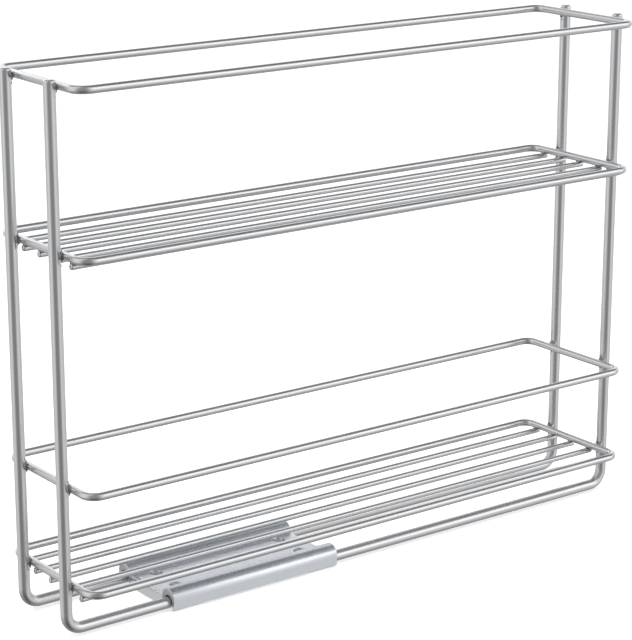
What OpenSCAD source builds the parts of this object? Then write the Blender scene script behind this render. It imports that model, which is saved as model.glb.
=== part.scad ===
// Slim two-tier pull-out wire rack on a screw-down slide base.
// X runs along the rods (minus X is the pull-out end), Y across the rack, Z up.
// The origin is on the cabinet floor, under the middle of the rack.

/* [Rack] */
// Distance between the post centres, along the rods
post_span = 480; // [380:5:520]
// Distance between the centres of the two U frames
frame_gap = 55.5; // [50:0.5:66]
// Outer width of the four wire rings
ring_w = 109; // [96:1:130]
// Height of the post tips above the floor
rack_h = 370.5; // [340:0.5:440]

/* [Wire] */
// Diameter of the U frame wire
post_d = 8; // [7:0.5:8.5]
// Diameter of the ring wire
ring_d = 5.5; // [4.5:0.5:6]
// Diameter of the shelf slat wire
slat_d = 4.2; // [3.4:0.1:4.6]
// Centreline radius of the bends at the foot of each U frame
foot_r = 11; // [8:0.5:20]
// Centreline radius of the ring corners
corner_r = 9; // [6:0.5:15]
// How deep one wire is sunk into the next at a weld
weld_sink = 0.3; // [0.1:0.05:0.5]
// Edge rounding on the post tips
tip_round = 1.8; // [0.5:0.1:2.5]
// Edge rounding on the slat ends
slat_round = 0.9; // [0.3:0.1:1.2]

/* [Shelves] */
// Height of the lower shelf rim's centreline
lower_z = 34.5; // [32:0.5:60]
// Height of the guard ring's centreline
guard_z = 102.5; // [80:0.5:140]
// Height of the upper shelf rim's centreline
upper_z = 258; // [180:0.5:290]
// Distance between neighbouring slats
slat_pitch = 20; // [16:0.5:20]
// How far a slat runs past the middle of the rim's end wire
slat_over = 2.6; // [2.4:0.1:4]

/* [Slide base] */
// Length of the base along the rods
base_l = 138; // [120:1:180]
// Where the middle of the base stands with the rack in its rest place
base_x = -92; // [-120:1:0]
// Thickness of the pressed sheet
sheet_t = 1.2; // [1:0.1:1.4]
// Height of the flat middle of the base
plate_h = 9; // [8:0.1:9.5]
// Height of the two arched rod channels
arch_h = 15.2; // [15:0.1:17]
// Outer width of a rod channel
arch_w = 15; // [14.6:0.1:15.2]
// Outer corner radius of a rod channel
arch_r = 7; // [5:0.1:7.2]
// Gap between a channel's outer wall and the floor
wall_lift = 1.2; // [0.5:0.1:2]
// Height of the rod centres above the floor
rod_z = 4.8; // [4.7:0.1:5.2]
// Radius of the bent edge at each end of the plate
edge_r = 2.4; // [2:0.1:3]

/* [Screw holes] */
// Distance between the screw holes along the base
screw_dx = 105; // [90:1:110]
// Distance between the screw holes across the base
screw_dy = 26; // [24:0.5:27]
// Diameter of the screw holes
screw_d = 4.5; // [3.5:0.1:5]
// Diameter of a screw dimple at the top of the plate
dimple_d = 12; // [11:0.1:12.4]
// Outer diameter of a screw dimple at the floor
dimple_foot_d = 8.2; // [8:0.1:8.6]

/* [Glide bushes] */
// Length of a glide bush
bush_l = 24; // [15:1:35]
// How far a bush sits inside the channel mouth
bush_inset = 0.3; // [0:0.1:3]
// Radial running clearance round a rod
bush_play = 0.06; // [0.03:0.01:0.09]
// Radial gap round a rod in the recess at a bush's outer end
mouth_gap = 1.3; // [0.8:0.1:1.5]
// Depth of that recess
mouth_deep = 7; // [3:0.5:12]
// Gap between a bush and the floor
bush_lift = 0.2; // [0.1:0.05:0.3]

/* [Hidden] */
slat_count = 5;
post_r = post_d / 2;
ring_r = ring_d / 2;
slat_r = slat_d / 2;
post_x = post_span / 2;
frame_y = frame_gap / 2;
ring_x = post_x - post_r - ring_r + weld_sink;
ring_y = ring_w / 2 - ring_r;
tip_above = 4.5;
top_z = rack_h - tip_above;
slat_drop = ring_r + slat_r - weld_sink;
slat_half = ring_x + slat_over;
slat_straight = slat_half - slat_round;
arch_half = arch_w / 2;
bush_half = arch_half - sheet_t;
plate_join = sheet_t / 2;
mouth_r = post_r + mouth_gap;
silver = [0.72, 0.72, 0.74];
zinc = [0.78, 0.80, 0.84];
grey_plastic = [0.60, 0.60, 0.62];
$fn = 48;

// A straight wire along X, centred on the origin
module wire_x(len, r) {
    rotate([0, 90, 0]) cylinder(h = len, r = r, center = true);
}

// A straight wire along Y, centred on the origin
module wire_y(len, r) {
    rotate([90, 0, 0]) cylinder(h = len, r = r, center = true);
}

// A quarter bend in the XY plane, from +X round to +Y
module quarter_bend(bend_r, r) {
    rotate_extrude(angle = 90) translate([bend_r, 0]) circle(r);
}

// The rounded end of a wire of radius r, from z = 0 up
module wire_tip(r, edge) {
    rotate_extrude() {
        square([r - edge, edge]);
        intersection() {
            translate([r - edge, 0]) circle(edge);
            square([r, edge]);
        }
    }
}

// One bent wire: a post, a bend, the bottom rod, a bend and a post
module u_frame(y) {
    bend_x = post_x - foot_r;
    bend_z = rod_z + foot_r;
    post_top = rack_h - tip_round;
    color(silver) translate([0, y, 0]) {
        translate([0, 0, rod_z]) wire_x(2 * bend_x, post_r);
        for (side = [0, 1]) mirror([side, 0, 0]) {
            translate([bend_x, 0, bend_z]) rotate([90, 0, 0]) mirror([0, 1, 0]) quarter_bend(foot_r, post_r);
            translate([post_x, 0, bend_z]) cylinder(h = post_top - bend_z, r = post_r);
            translate([post_x, 0, post_top]) wire_tip(post_r, tip_round);
        }
    }
}

// One closed wire ring with rounded corners
module wire_ring(z) {
    side_l = 2 * (ring_x - corner_r);
    end_l = 2 * (ring_y - corner_r);
    color(silver) translate([0, 0, z]) {
        for (side = [-1, 1]) {
            translate([0, side * ring_y, 0]) wire_x(side_l, ring_r);
            translate([side * ring_x, 0, 0]) wire_y(end_l, ring_r);
        }
        for (sx = [0, 1]) mirror([sx, 0, 0]) for (sy = [0, 1]) mirror([0, sy, 0])
            translate([side_l / 2, end_l / 2, 0]) quarter_bend(corner_r, ring_r);
    }
}

// One shelf slat, lying under the rim's end wires. Number 1 is on the far side
module slat(number, rim_z) {
    y = ((slat_count + 1) / 2 - number) * slat_pitch;
    color(silver) translate([0, y, rim_z - slat_drop]) {
        wire_x(2 * slat_straight, slat_r);
        for (side = [0, 1]) mirror([side, 0, 0])
            translate([slat_straight, 0, 0]) rotate([0, 90, 0]) wire_tip(slat_r, slat_round);
    }
}

// A half-width w and height h with its two top corners rounded by r, standing on y = 0
module arch_outline(w, h, r) {
    translate([-w, 0]) square([2 * w, h - r]);
    translate([r - w, h - r]) square([2 * (w - r), r]);
    for (side = [-1, 1]) translate([side * (w - r), h - r]) circle(r);
}

// Section of one rod channel, for y above 0
module channel_section() {
    inner_leg = plate_h - sheet_t;
    translate([frame_y, 0]) difference() {
        arch_outline(arch_half, arch_h, arch_r);
        arch_outline(bush_half, arch_h - sheet_t, arch_r - sheet_t);
        translate([-arch_half, 0]) square([arch_half, inner_leg]);
        square([arch_half, wall_lift]);
    }
}

// Section of the flat plate along X, with its two ends bent down to the floor
module plate_section() {
    flat_half = base_l / 2 - edge_r;
    translate([-flat_half, plate_h - sheet_t]) square([2 * flat_half, sheet_t]);
    for (side = [0, 1]) mirror([side, 0]) {
        translate([base_l / 2 - sheet_t, 0]) square([sheet_t, plate_h - edge_r]);
        translate([flat_half, plate_h - edge_r]) intersection() {
            difference() {
                circle(edge_r);
                circle(edge_r - sheet_t);
            }
            square(edge_r);
        }
    }
}

// A dished screw seat, pressed down to the floor
module dimple() {
    top_r = dimple_d / 2;
    foot_ro = dimple_foot_d / 2;
    rotate_extrude() polygon([
        [0, 0], [foot_ro, 0], [foot_ro, sheet_t], [top_r, plate_h],
        [top_r - sheet_t, plate_h], [foot_ro - sheet_t, sheet_t], [0, sheet_t]]);
}

module at_screws() {
    for (sx = [-1, 1]) for (sy = [-1, 1])
        translate([sx * screw_dx / 2, sy * screw_dy / 2, 0]) children();
}

// The pressed base: flat plate, two rod channels, four screw seats
module base_plate() {
    flat_y = frame_y - arch_half + plate_join;
    color(zinc) translate([base_x, 0, 0]) difference() {
        union() {
            difference() {
                union() {
                    rotate([90, 0, 0]) linear_extrude(2 * flat_y, center = true) plate_section();
                    for (side = [0, 1]) mirror([0, side, 0])
                        rotate([90, 0, 90]) linear_extrude(base_l, center = true) channel_section();
                }
                at_screws() translate([0, 0, sheet_t]) cylinder(h = plate_h, d = dimple_d - sheet_t);
            }
            at_screws() dimple();
        }
        at_screws() translate([0, 0, -1]) cylinder(h = sheet_t + 2, d = screw_d);
    }
}

// The recess at a bush's outer end, round the rod and open towards the floor
module bush_mouth() {
    rotate([90, 0, 90]) linear_extrude(2 * mouth_deep, center = true) {
        translate([0, rod_z]) circle(mouth_r);
        translate([-mouth_r, -1]) square([2 * mouth_r, rod_z + 1]);
    }
}

// A plastic glide bush that fills the end of a channel and guides the rod
module glide_bush(side_y, side_x) {
    mid_x = base_x + side_x * (base_l / 2 - bush_inset - bush_l / 2);
    color(grey_plastic) translate([mid_x, side_y * frame_y, 0]) difference() {
        rotate([90, 0, 90]) linear_extrude(bush_l, center = true) difference() {
            arch_outline(bush_half, arch_h - sheet_t, arch_r - sheet_t);
            translate([-bush_half, 0]) square([2 * bush_half, bush_lift]);
        }
        translate([0, 0, rod_z]) wire_x(bush_l + 2, post_r + bush_play);
        translate([side_x * bush_l / 2, 0, 0]) bush_mouth();
    }
}

u_frame(-frame_y);  // near_frame
u_frame(frame_y);  // far_frame
wire_ring(top_z);  // top_ring
wire_ring(upper_z);  // upper_shelf_rim
wire_ring(guard_z);  // guard_ring
wire_ring(lower_z);  // lower_shelf_rim
for (i = [1:slat_count]) slat(i, upper_z);
for (i = [1:slat_count]) slat(i, lower_z);
base_plate();
glide_bush(-1, -1);  // bush_near_front
glide_bush(-1, 1);  // bush_near_rear
glide_bush(1, -1);  // bush_far_front
glide_bush(1, 1);  // bush_far_rear
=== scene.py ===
"""Looks of the two-tier pull-out wire rack.

Camera, studio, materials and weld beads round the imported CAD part, in metres.
"""
import math
import random

import bmesh
import bpy
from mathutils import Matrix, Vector, noise


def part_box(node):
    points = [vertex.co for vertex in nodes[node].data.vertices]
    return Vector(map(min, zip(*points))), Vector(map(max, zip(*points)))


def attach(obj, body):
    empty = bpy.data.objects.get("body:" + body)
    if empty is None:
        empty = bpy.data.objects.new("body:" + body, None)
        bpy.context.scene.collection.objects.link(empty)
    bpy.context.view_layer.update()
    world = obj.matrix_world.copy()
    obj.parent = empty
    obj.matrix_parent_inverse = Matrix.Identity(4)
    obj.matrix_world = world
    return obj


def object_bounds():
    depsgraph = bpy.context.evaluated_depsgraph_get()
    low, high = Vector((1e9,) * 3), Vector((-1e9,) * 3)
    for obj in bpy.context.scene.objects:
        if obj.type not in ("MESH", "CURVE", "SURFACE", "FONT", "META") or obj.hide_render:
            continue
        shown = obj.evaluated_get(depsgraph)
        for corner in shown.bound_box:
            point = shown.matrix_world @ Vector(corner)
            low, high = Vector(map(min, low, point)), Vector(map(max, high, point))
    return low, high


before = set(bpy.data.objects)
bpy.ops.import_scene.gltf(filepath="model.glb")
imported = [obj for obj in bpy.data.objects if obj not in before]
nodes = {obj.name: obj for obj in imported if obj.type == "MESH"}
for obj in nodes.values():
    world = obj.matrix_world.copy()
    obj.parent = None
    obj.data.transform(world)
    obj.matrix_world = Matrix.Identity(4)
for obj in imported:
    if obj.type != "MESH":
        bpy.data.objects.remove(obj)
cad_low, cad_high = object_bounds()
MM = 0.001

# ---------------------------------------------------------------- camera
VIEW_AZIMUTH = math.radians(-36.61)
VIEW_ELEVATION = math.radians(15.86)
VIEW_DISTANCE = 1.586
LENS_MM = 126.34
SENSOR_MM = 36.0
CLIP_NEAR, CLIP_FAR = 0.02, 60.0
AIM_POINT = Vector((-0.0127, 0.0036, 0.1714))


def toward_camera():
    """The unit direction from the aim point to the camera."""
    flat = math.cos(VIEW_ELEVATION)
    return Vector((
        math.sin(VIEW_AZIMUTH) * flat,
        -math.cos(VIEW_AZIMUTH) * flat,
        math.sin(VIEW_ELEVATION),
    ))


def make_camera():
    data = bpy.data.cameras.new("camera")
    data.lens = LENS_MM
    data.sensor_width = SENSOR_MM
    data.clip_start, data.clip_end = CLIP_NEAR, CLIP_FAR
    camera = bpy.data.objects.new("camera", data)
    bpy.context.scene.collection.objects.link(camera)
    camera.location = AIM_POINT + toward_camera() * VIEW_DISTANCE
    camera.rotation_mode = "QUATERNION"
    camera.rotation_quaternion = (-toward_camera()).to_track_quat("-Z", "Y")
    bpy.context.scene.camera = camera


# ---------------------------------------------------------------- node helpers
class Graph:
    """Short calls that add nodes to one material's or world's node tree."""

    def __init__(self, tree):
        self.tree = tree
        tree.nodes.clear()

    def node(self, kind, **settings):
        made = self.tree.nodes.new(kind)
        for name, value in settings.items():
            setattr(made, name, value)
        return made

    def link(self, source, socket):
        self.tree.links.new(source, socket)

    def feed(self, socket, value):
        if isinstance(value, bpy.types.NodeSocket):
            self.link(value, socket)
        else:
            socket.default_value = value

    def math(self, operation, *values, clamp=False):
        made = self.node("ShaderNodeMath", operation=operation, use_clamp=clamp)
        for socket, value in zip(made.inputs, values):
            self.feed(socket, value)
        return made.outputs[0]

    def dot(self, vector, direction):
        made = self.node("ShaderNodeVectorMath", operation="DOT_PRODUCT")
        self.link(vector, made.inputs[0])
        made.inputs[1].default_value = direction
        return made.outputs["Value"]

    def smooth(self, value, start, end, low=0.0, high=1.0):
        """low below start, high above end, with a smooth step between."""
        made = self.node("ShaderNodeMapRange", interpolation_type="SMOOTHSTEP")
        ends = (("Value", value), ("From Min", start), ("From Max", end), ("To Min", low), ("To Max", high))
        for name, number in ends:
            self.feed(made.inputs[name], number)
        return made.outputs["Result"]

    def blend(self, share, first, second):
        made = self.node("ShaderNodeMix", data_type="FLOAT")
        for name, value in (("Factor", share), ("A", first), ("B", second)):
            self.feed(made.inputs[name], value)
        return made.outputs["Result"]

    def mix(self, share, first, second, kind="MIX"):
        made = self.node("ShaderNodeMix", data_type="RGBA", blend_type=kind)
        self.feed(made.inputs["Factor"], share)
        self.feed(made.inputs["A"], first)
        self.feed(made.inputs["B"], second)
        return made.outputs["Result"]

    def noise(self, vector, scale, detail=3.0, roughness=0.55):
        made = self.node("ShaderNodeTexNoise")
        self.link(vector, made.inputs["Vector"])
        made.inputs["Scale"].default_value = scale
        made.inputs["Detail"].default_value = detail
        made.inputs["Roughness"].default_value = roughness
        return made.outputs["Fac"]

    def stretched(self, vector, factors):
        made = self.node("ShaderNodeVectorMath", operation="MULTIPLY")
        self.link(vector, made.inputs[0])
        made.inputs[1].default_value = factors
        return made.outputs["Vector"]


# ---------------------------------------------------------------- studio
WALL_LEVEL = 0.92
FLOOR_LEVEL = 0.34
CAMERA_SIDE_SHARE = 0.34
# Heights of a direction, -1 straight down to 1 straight up, between which the floor turns to wall
FLOOR_TO_WALL = (-0.85, -0.10)
# Cosines of the turn away from the front side, where the dim side begins and is full
CAMERA_SIDE_EDGE = (0.55, 0.97)
TINT_HEIGHTS = (-0.45, 0.15)
LOW_TINT = (0.985, 0.985, 0.985, 1.0)
HIGH_TINT = (0.965, 0.98, 1.0, 1.0)
STRAIGHT_UP_GUARD = 0.0001
WHITE = (1.0, 1.0, 1.0, 1.0)
# Soft panels and dark flags round the object: azimuth from the front towards +X, elevation,
# half-angle of the full part, half-angle at which it has faded out (all in degrees), brightness
PANELS = (
    ("grey_right", 72.0, -15.0, 14.0, 38.0, 0.70),
    ("grey_back_left", -146.0, -4.0, 10.0, 24.0, 0.62),
    ("pale_back_low", 146.0, 12.0, 13.0, 26.0, 1.20),
    ("dark_overhead", 96.0, 62.0, 24.0, 40.0, 0.20),
    ("softbox_front_right", 42.0, 20.0, 11.0, 26.0, 1.45),
    ("dark_back", 182.0, 56.0, 14.0, 26.0, 0.28),
    ("softbox_back_left", 180.0, 24.0, 8.0, 17.0, 1.60),
)

OVERHEAD_HEIGHT = 1.8
OVERHEAD_SIZE = (0.6, 0.6)
OVERHEAD_WATTS = 14.0
FLOOR_HALF = 14.0
FLOOR_GAP = 0.2 * MM
FLOOR_GLOW = 0.55


def direction_at(azimuth, elevation):
    """The unit direction at these angles in degrees, as in PANELS."""
    turn, rise = math.radians(azimuth), math.radians(elevation)
    return Vector((math.sin(turn) * math.cos(rise), -math.cos(turn) * math.cos(rise), math.sin(rise)))


def make_world():
    """A plain studio seen only in the metal.

    It has pale walls, a dim side towards the camera, soft panels and flags.
    """
    world = bpy.data.worlds.new("studio")
    bpy.context.scene.world = world
    world.use_nodes = True
    g = Graph(world.node_tree)
    direction = g.node("ShaderNodeTexCoord").outputs["Generated"]
    front = Vector((math.sin(VIEW_AZIMUTH), -math.cos(VIEW_AZIMUTH), 0.0))
    height = g.dot(direction, (0.0, 0.0, 1.0))
    level_squared = g.math("SUBTRACT", 1.0, g.math("MULTIPLY", height, height))
    level = g.math("SQRT", g.math("MAXIMUM", level_squared, STRAIGHT_UP_GUARD))
    ahead = g.math("DIVIDE", g.dot(direction, front), level)
    light = g.smooth(height, *FLOOR_TO_WALL, FLOOR_LEVEL, WALL_LEVEL)
    light = g.math("MULTIPLY", light, g.smooth(ahead, *CAMERA_SIDE_EDGE, 1.0, CAMERA_SIDE_SHARE))
    for _name, azimuth, elevation, full, faded, brightness in PANELS:
        facing = g.dot(direction, direction_at(azimuth, elevation))
        share = g.smooth(facing, math.cos(math.radians(faded)), math.cos(math.radians(full)))
        light = g.blend(share, light, brightness)
    seen = g.node("ShaderNodeBackground")
    seen.inputs["Color"].default_value = WHITE
    seen.inputs["Strength"].default_value = 1.0
    lit = g.node("ShaderNodeBackground")
    g.link(g.mix(g.smooth(height, *TINT_HEIGHTS), LOW_TINT, HIGH_TINT), lit.inputs["Color"])
    g.link(light, lit.inputs["Strength"])
    chooser = g.node("ShaderNodeMixShader")
    g.link(g.node("ShaderNodeLightPath").outputs["Is Camera Ray"], chooser.inputs[0])
    g.link(lit.outputs[0], chooser.inputs[1])
    g.link(seen.outputs[0], chooser.inputs[2])
    g.link(chooser.outputs[0], g.node("ShaderNodeOutputWorld").inputs["Surface"])


def make_light(name, location, target, size, power):
    """A soft area light that is kept out of the metal's reflections."""
    data = bpy.data.lights.new(name, "AREA")
    data.shape = "RECTANGLE"
    data.size, data.size_y = size
    data.energy = power
    light = bpy.data.objects.new(name, data)
    bpy.context.scene.collection.objects.link(light)
    light.location = location
    light.visible_glossy = False
    light.rotation_mode = "QUATERNION"
    light.rotation_quaternion = (Vector(target) - Vector(location)).to_track_quat("-Z", "Y")


def make_floor():
    """A wide pale floor just under the part, glowing a little so that it stays white far away."""
    mesh = bpy.data.meshes.new("floor")
    height = cad_low.z - FLOOR_GAP
    corners = [
        (side_x * FLOOR_HALF, side_y * FLOOR_HALF, height)
        for side_x, side_y in ((-1, -1), (1, -1), (1, 1), (-1, 1))
    ]
    mesh.from_pydata(corners, [], [(0, 1, 2, 3)])
    floor = bpy.data.objects.new("floor", mesh)
    bpy.context.scene.collection.objects.link(floor)
    material = bpy.data.materials.new("pale_floor")
    material.use_nodes = True
    shader = material.node_tree.nodes["Principled BSDF"]
    shader.inputs["Base Color"].default_value = (0.93, 0.93, 0.935, 1.0)
    shader.inputs["Roughness"].default_value = 0.9
    shader.inputs["Specular IOR Level"].default_value = 0.1
    shader.inputs["Emission Color"].default_value = WHITE
    shader.inputs["Emission Strength"].default_value = FLOOR_GLOW
    mesh.materials.append(material)
    floor.visible_glossy = False


make_camera()
make_world()
make_light("overhead", (0.0, 0.0, OVERHEAD_HEIGHT), (0.0, 0.0, 0.0), OVERHEAD_SIZE, OVERHEAD_WATTS)
make_floor()
view_settings = bpy.context.scene.view_settings
view_settings.view_transform = "Standard"


# ---------------------------------------------------------------- materials
def wire_material():
    """Satin silver lacquer over drawn steel wire."""
    material = bpy.data.materials.new("silver_lacquer")
    material.use_nodes = True
    g = Graph(material.node_tree)
    place = g.node("ShaderNodeTexCoord").outputs["Object"]
    shader = g.node("ShaderNodeBsdfPrincipled")
    flake = g.noise(place, 9000.0, 1.0)
    cloud = g.noise(place, 35.0, 3.0)
    colour = g.mix(cloud, (0.675, 0.675, 0.68, 1.0), (0.745, 0.744, 0.746, 1.0))
    colour = g.mix(g.smooth(flake, 0.35, 0.65, 0.0, 0.3), colour, (0.80, 0.80, 0.81, 1.0))
    g.link(colour, shader.inputs["Base Color"])
    shader.inputs["Metallic"].default_value = 1.0
    g.link(g.smooth(cloud, 0.3, 0.7, 0.22, 0.29), shader.inputs["Roughness"])
    bump = g.node("ShaderNodeBump")
    bump.inputs["Strength"].default_value = 0.25
    bump.inputs["Distance"].default_value = 0.00003
    g.link(g.noise(place, 1400.0, 2.0), bump.inputs["Height"])
    g.link(bump.outputs["Normal"], shader.inputs["Normal"])
    g.link(shader.outputs[0], g.node("ShaderNodeOutputMaterial").inputs["Surface"])
    return material


def zinc_material():
    """Bright zinc plating on pressed sheet, with faint lines along the pressing."""
    material = bpy.data.materials.new("zinc_plate")
    material.use_nodes = True
    g = Graph(material.node_tree)
    place = g.node("ShaderNodeTexCoord").outputs["Object"]
    shader = g.node("ShaderNodeBsdfPrincipled")
    cloud = g.noise(g.stretched(place, (1.0, 2.5, 2.5)), 60.0, 4.0)
    colour = g.mix(cloud, (0.70, 0.73, 0.765, 1.0), (0.80, 0.825, 0.85, 1.0))
    g.link(colour, shader.inputs["Base Color"])
    shader.inputs["Metallic"].default_value = 1.0
    g.link(g.smooth(cloud, 0.3, 0.7, 0.24, 0.34), shader.inputs["Roughness"])
    bump = g.node("ShaderNodeBump")
    bump.inputs["Strength"].default_value = 0.25
    bump.inputs["Distance"].default_value = 0.00004
    g.link(g.noise(g.stretched(place, (60.0, 1200.0, 1200.0)), 1.0, 3.0), bump.inputs["Height"])
    g.link(bump.outputs["Normal"], shader.inputs["Normal"])
    g.link(shader.outputs[0], g.node("ShaderNodeOutputMaterial").inputs["Surface"])
    return material


def plastic_material():
    """Matt light grey moulded plastic."""
    material = bpy.data.materials.new("grey_polymer")
    material.use_nodes = True
    g = Graph(material.node_tree)
    place = g.node("ShaderNodeTexCoord").outputs["Object"]
    shader = g.node("ShaderNodeBsdfPrincipled")
    cloud = g.noise(place, 200.0, 3.0)
    g.link(g.mix(cloud, (0.40, 0.40, 0.41, 1.0), (0.50, 0.50, 0.51, 1.0)), shader.inputs["Base Color"])
    g.link(g.smooth(cloud, 0.3, 0.7, 0.42, 0.55), shader.inputs["Roughness"])
    bump = g.node("ShaderNodeBump")
    bump.inputs["Strength"].default_value = 0.3
    bump.inputs["Distance"].default_value = 0.00003
    g.link(g.noise(place, 2500.0, 2.0), bump.inputs["Height"])
    g.link(bump.outputs["Normal"], shader.inputs["Normal"])
    g.link(shader.outputs[0], g.node("ShaderNodeOutputMaterial").inputs["Surface"])
    return material


def weld_material():
    """Rough, heat-darkened weld metal with silver lacquer left on its high spots."""
    material = bpy.data.materials.new("weld_scale")
    material.use_nodes = True
    g = Graph(material.node_tree)
    place = g.node("ShaderNodeTexCoord").outputs["Object"]
    shader = g.node("ShaderNodeBsdfPrincipled")
    speckle = g.noise(place, 1500.0, 3.0, 0.7)
    cloud = g.noise(place, 260.0, 2.0)
    scale = g.mix(cloud, (0.16, 0.15, 0.14, 1.0), (0.34, 0.33, 0.33, 1.0))
    g.link(g.mix(g.smooth(speckle, 0.48, 0.62), scale, (0.66, 0.66, 0.67, 1.0)), shader.inputs["Base Color"])
    shader.inputs["Metallic"].default_value = 1.0
    g.link(g.smooth(speckle, 0.4, 0.65, 0.62, 0.34), shader.inputs["Roughness"])
    bump = g.node("ShaderNodeBump")
    bump.inputs["Strength"].default_value = 0.8
    bump.inputs["Distance"].default_value = 0.00015
    g.link(g.noise(place, 1100.0, 4.0, 0.65), bump.inputs["Height"])
    g.link(bump.outputs["Normal"], shader.inputs["Normal"])
    g.link(shader.outputs[0], g.node("ShaderNodeOutputMaterial").inputs["Surface"])
    return material


wire, zinc, polymer, weld = wire_material(), zinc_material(), plastic_material(), weld_material()
for name, piece in nodes.items():
    chosen = zinc if name == "base_plate" else polymer if name.startswith("bush") else wire
    piece.data.materials.clear()
    piece.data.materials.append(chosen)


# ---------------------------------------------------------------- pressed edges of the base
EDGE_ROUND = 0.4 * MM
MERGE_DISTANCE = 0.01 * MM
SHARP_ANGLE = math.radians(50.0)
joined = nodes["base_plate"].modifiers.new("joined", "WELD")
joined.merge_threshold = MERGE_DISTANCE
rounded = nodes["base_plate"].modifiers.new("rounded", "BEVEL")
rounded.width = EDGE_ROUND
rounded.segments = 3
rounded.limit_method = "ANGLE"
rounded.angle_limit = SHARP_ANGLE
rounded.use_clamp_overlap = True


# ---------------------------------------------------------------- weld beads
RINGS = ("top_ring", "upper_shelf_rim", "guard_ring", "lower_shelf_rim")
SLATS_PER_SHELF = 5
POST_BEAD = Vector((1.7, 2.5, 4.3)) * MM
SLAT_BEAD = Vector((2.2, 2.5, 1.3)) * MM
SPATTER_PER_BEAD = 9
SPATTER_REACH = 6.5 * MM
TIP_CLEAR = 1.8 * MM
BEAD_LUMP = 0.30
BEAD_GRAIN = 900.0
FINE_GRAIN = 2.3
FINE_SHARE = 0.5
BEAD_FINENESS = 3
DROP_FINENESS = 1
DROP_SIZES = (0.22, 0.5)
DROP_STRETCH = 1.3
DROP_TURN = 0.55
DROP_START = 0.7


def middle(node):
    """The middle of a CAD node's box."""
    low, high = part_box(node)
    return (Vector(low) + Vector(high)) / 2


def extent(node):
    """The size of a CAD node's box along each axis."""
    low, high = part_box(node)
    return Vector(high) - Vector(low)


def add_bead(shape, centre, half, fineness, ceiling=math.inf):
    """A lumpy blob round centre, half being half its size along each axis.

    Its upper half is squeezed to stay under ceiling.
    """
    made = bmesh.ops.create_icosphere(shape, subdivisions=fineness, radius=1.0)
    tallest = half.z * (1.0 + (1.0 + FINE_SHARE) * BEAD_LUMP)
    squeeze = min(1.0, (ceiling - centre.z) / tallest)
    for vertex in made["verts"]:
        point = Vector((vertex.co.x * half.x, vertex.co.y * half.y, vertex.co.z * half.z))
        coarse = noise.noise((centre + point) * BEAD_GRAIN)
        fine = noise.noise((centre + point) * BEAD_GRAIN * FINE_GRAIN)
        lump = coarse + FINE_SHARE * fine
        point *= 1.0 + BEAD_LUMP * lump
        if point.z > 0.0:
            point.z *= squeeze
        vertex.co = centre + point


def finish_beads(shape, name):
    """Turns the collected beads into one piece that rides on the rack."""
    for face in shape.faces:
        face.smooth = True
    mesh = bpy.data.meshes.new(name)
    shape.to_mesh(mesh)
    shape.free()
    mesh.materials.append(weld)
    piece = bpy.data.objects.new(name, mesh)
    bpy.context.scene.collection.objects.link(piece)
    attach(piece, "rack")


def frame_beads(name, node, seed):
    """The welds between one U frame's two posts and the four rings, with a little spatter on the posts."""
    chance = random.Random(seed)
    shape = bmesh.new()
    post_r = extent(node).y / 2
    post_x = extent(node).x / 2 - post_r
    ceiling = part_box(node)[1][2] - TIP_CLEAR
    for ring in RINGS:
        for side in (-1.0, 1.0):
            contact = Vector((side * (post_x - post_r), middle(node).y, middle(ring).z))
            add_bead(shape, contact, POST_BEAD, BEAD_FINENESS, ceiling)
            for _drop in range(SPATTER_PER_BEAD):
                turn = chance.gauss(0.0, DROP_TURN)
                rise = chance.choice((-1.0, 1.0)) * chance.uniform(POST_BEAD.z * DROP_START, SPATTER_REACH)
                size = chance.uniform(*DROP_SIZES) * MM
                if contact.z + rise + 2.0 * size > ceiling:
                    rise = -rise
                spot = Vector((
                    side * (post_x - post_r * math.cos(turn)),
                    contact.y + post_r * math.sin(turn),
                    contact.z + rise,
                ))
                add_bead(shape, spot, Vector((size, size, size * DROP_STRETCH)), DROP_FINENESS)
    finish_beads(shape, name)


def slat_beads(name, rim, slat_name):
    """The welds between one shelf's slats and the end wires that they lie under."""
    shape = bmesh.new()
    ring_r = extent(rim).z / 2
    ring_x = extent(rim).x / 2 - ring_r
    for number in range(1, SLATS_PER_SHELF + 1):
        for side in (-1.0, 1.0):
            contact = Vector((side * ring_x, middle(slat_name + str(number)).y, middle(rim).z - ring_r))
            add_bead(shape, contact, SLAT_BEAD, BEAD_FINENESS)
    finish_beads(shape, name)


frame_beads("weld_beads_near_frame", "near_frame", 3)
frame_beads("weld_beads_far_frame", "far_frame", 5)
slat_beads("weld_beads_upper_shelf", "upper_shelf_rim", "upper_slat_")
slat_beads("weld_beads_lower_shelf", "lower_shelf_rim", "lower_slat_")
